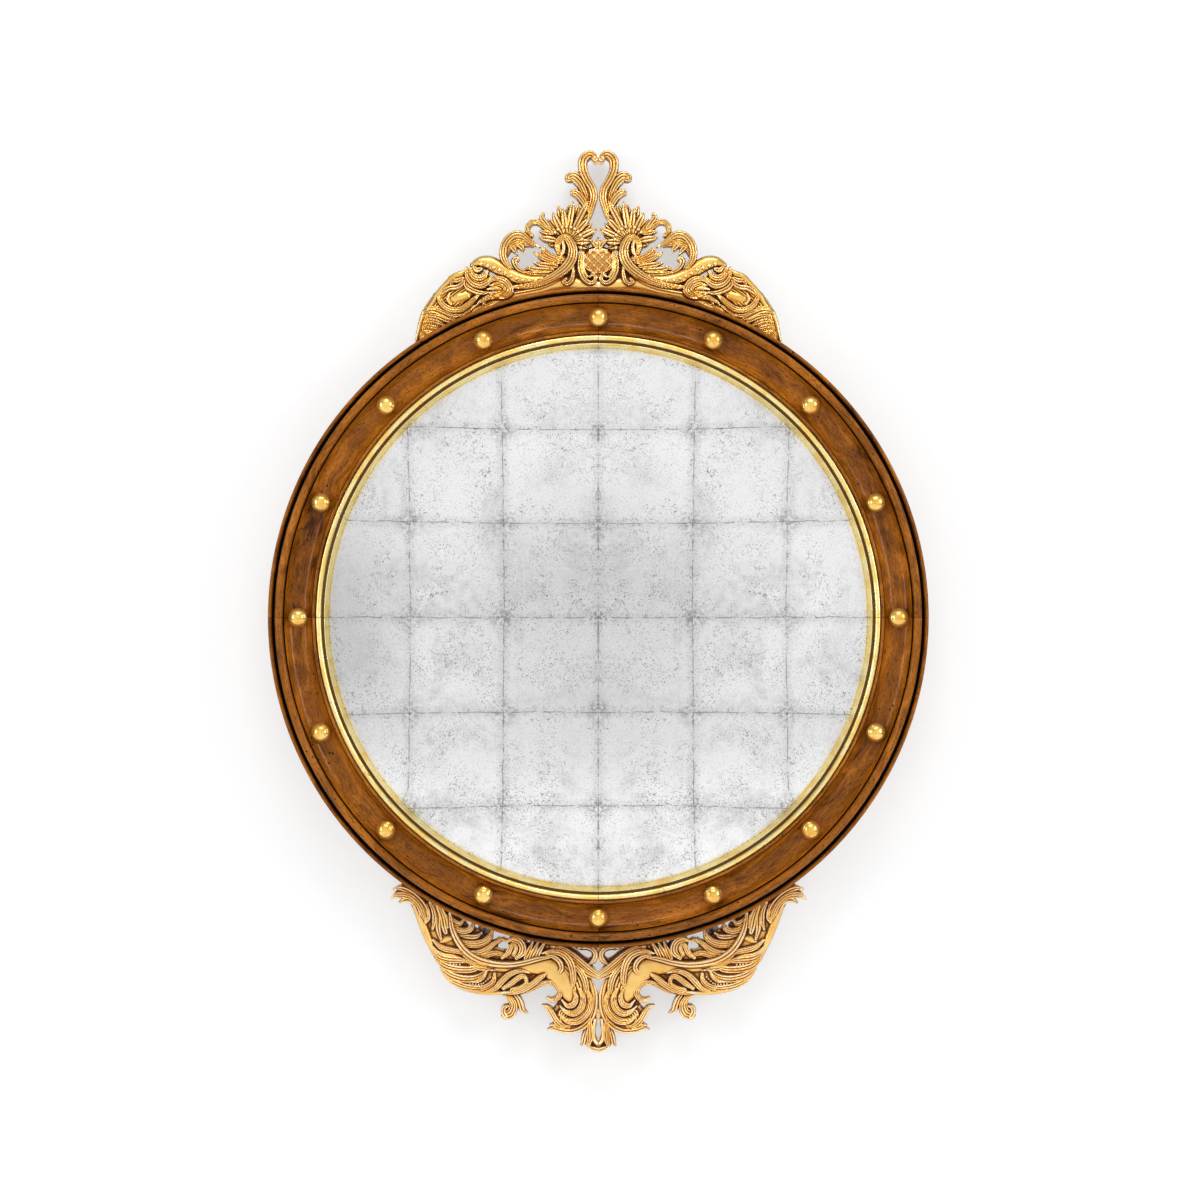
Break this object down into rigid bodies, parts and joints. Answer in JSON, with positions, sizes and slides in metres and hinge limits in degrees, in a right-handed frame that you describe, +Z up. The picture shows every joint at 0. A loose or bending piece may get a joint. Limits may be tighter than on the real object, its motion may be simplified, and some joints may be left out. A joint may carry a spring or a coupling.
{
  "type": "convex butlers mirror",
  "caption": "Round convex wall mirror in a coved walnut frame set with gilt balls, with a gilt slip and a pierced, carved gilt crest and apron.",
  "frame": {"origin": "centre of the round frame on the plane of the wall, where the cork pads touch", "axes": "+Z up, +X to the right seen from the front, the glass faces -Y and the wall is on the +Y side"},
  "size_m": [0.66, 0.0718, 0.9069],
  "materials": {
    "walnut": "waxed",
    "pine": "raw",
    "gilt_wood": "water gilt",
    "burnished_gilt": "burnished gilt",
    "silvered_glass": "silver leaf behind glass",
    "iron": "dull",
    "steel": "zinc plated",
    "brass": "plated",
    "cork": "matte"
  },
  "bodies": {
    "mirror": {"walnut_frame_segments": "walnut", "frame_joint_tongues": "pine", "gilt_slip": "gilt_wood", "convex_glass": "silvered_glass", "glass_blocks": "pine", "back_panel": "pine", "back_panel_nails": "iron", "gilt_balls": "burnished_gilt", "ball_brads": "iron", "crest_left": "gilt_wood", "crest_right": "gilt_wood", "crest_boss": "gilt_wood", "crest_seam_key": "pine", "apron_left": "gilt_wood", "apron_right": "gilt_wood", "apron_seam_key": "pine", "crest_strap_left": "steel", "crest_strap_right": "steel", "apron_strap_left": "steel", "apron_strap_right": "steel", "strap_screws": "steel", "hanger_strap_left": "brass", "hanger_strap_right": "brass", "hanger_screws": "brass", "wall_pad_left": "cork", "wall_pad_right": "cork"},
    "left_ring": {"d_ring_left": "brass"},
    "right_ring": {"d_ring_right": "brass"}
  },
  "joints": [
    {"name": "left_ring_swing", "type": "hinge", "parent": "mirror", "child": "left_ring", "pos_m": [-0.2702, -0.0035, 0.156], "axis": [-1, 0, 0], "range_deg": [0, 150]},
    {"name": "right_ring_swing", "type": "hinge", "parent": "mirror", "child": "right_ring", "pos_m": [0.2702, -0.0035, 0.156], "axis": [-1, 0, 0], "range_deg": [0, 150]}
  ]
}
